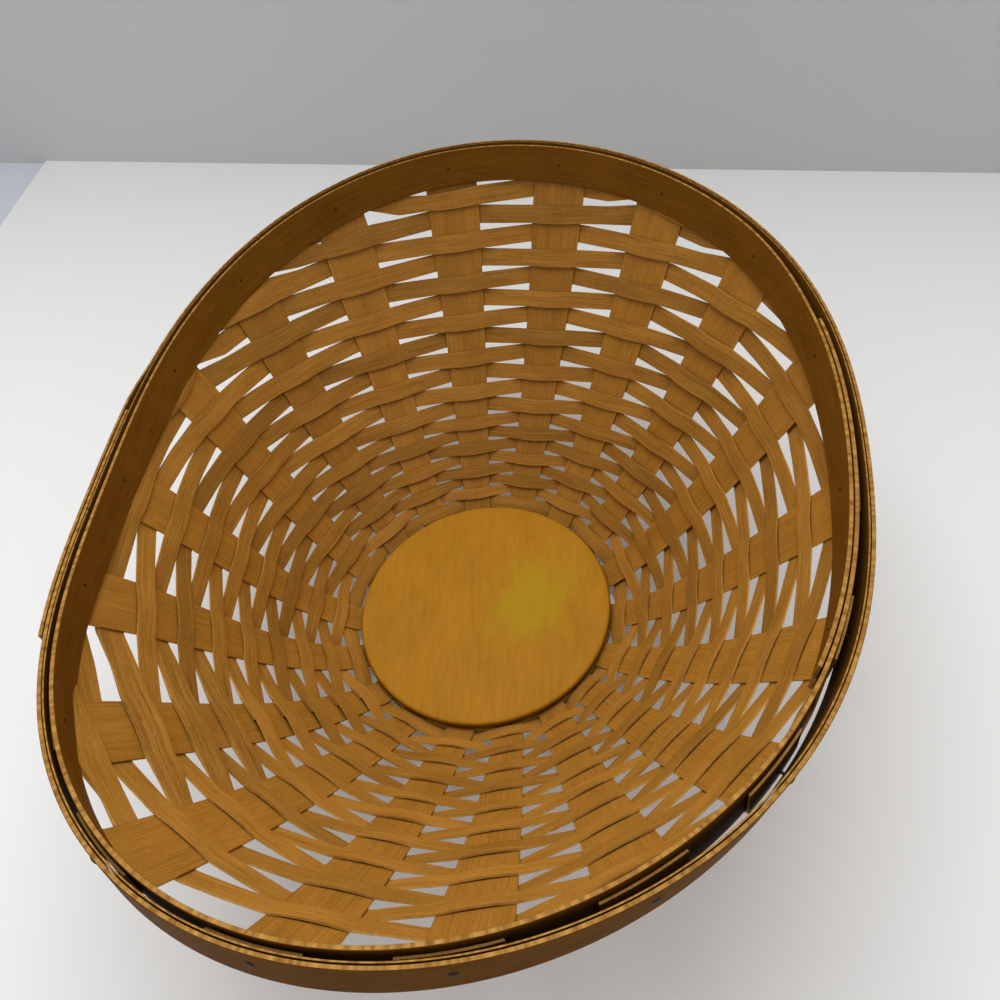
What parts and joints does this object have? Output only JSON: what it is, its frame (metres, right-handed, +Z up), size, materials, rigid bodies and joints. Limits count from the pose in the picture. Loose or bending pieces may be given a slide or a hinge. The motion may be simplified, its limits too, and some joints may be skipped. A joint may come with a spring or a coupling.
{
  "type": "oval basket",
  "caption": "Oval woven splint basket with a round wooden base, flat tapered staves and a nailed double-hoop rim; open top, no handle.",
  "frame": {"origin": "centre of the flat underside of the base disc", "axes": "+Z up out of the mouth, +X along the long axis of the oval mouth"},
  "size_m": [0.3228, 0.2527, 0.1305],
  "materials": {
    "base_wood": "satin varnished, golden brown",
    "stave_wood": "stained splint, satin",
    "weaver_wood": "stained splint, satin",
    "hoop_wood": "stained bent wood, satin, lighter cut edges",
    "brad_steel": "darkened steel"
  },
  "bodies": {
    "root": {"base_disc_lower": "base_wood", "base_disc_upper": "base_wood", "stave_01": "stave_wood", "stave_02": "stave_wood", "stave_03": "stave_wood", "stave_04": "stave_wood", "stave_05": "stave_wood", "stave_06": "stave_wood", "stave_07": "stave_wood", "stave_08": "stave_wood", "stave_09": "stave_wood", "stave_10": "stave_wood", "stave_11": "stave_wood", "stave_12": "stave_wood", "stave_13": "stave_wood", "stave_14": "stave_wood", "stave_15": "stave_wood", "stave_16": "stave_wood", "stave_17": "stave_wood", "stave_18": "stave_wood", "weaver_01": "weaver_wood", "weaver_02": "weaver_wood", "weaver_03": "weaver_wood", "weaver_04": "weaver_wood", "weaver_05": "weaver_wood", "weaver_06": "weaver_wood", "weaver_07": "weaver_wood", "weaver_08": "weaver_wood", "weaver_09": "weaver_wood", "weaver_10": "weaver_wood", "weaver_11": "weaver_wood", "weaver_12": "weaver_wood", "weaver_13": "weaver_wood", "weaver_14": "weaver_wood", "weaver_15": "weaver_wood", "weaver_16": "weaver_wood", "weaver_17": "weaver_wood", "weaver_18": "weaver_wood", "weaver_19": "weaver_wood", "inner_hoop": "hoop_wood", "rim_lining_band": "hoop_wood", "outer_hoop": "hoop_wood", "rim_nail_01": "brad_steel", "rim_nail_02": "brad_steel", "rim_nail_03": "brad_steel", "rim_nail_04": "brad_steel", "rim_nail_05": "brad_steel", "rim_nail_06": "brad_steel", "rim_nail_07": "brad_steel", "rim_nail_08": "brad_steel", "rim_nail_09": "brad_steel", "rim_nail_10": "brad_steel", "rim_nail_11": "brad_steel", "rim_nail_12": "brad_steel", "rim_nail_13": "brad_steel", "rim_nail_14": "brad_steel", "rim_nail_15": "brad_steel", "rim_nail_16": "brad_steel", "rim_nail_17": "brad_steel", "rim_nail_18": "brad_steel"}
  },
  "joints": []
}
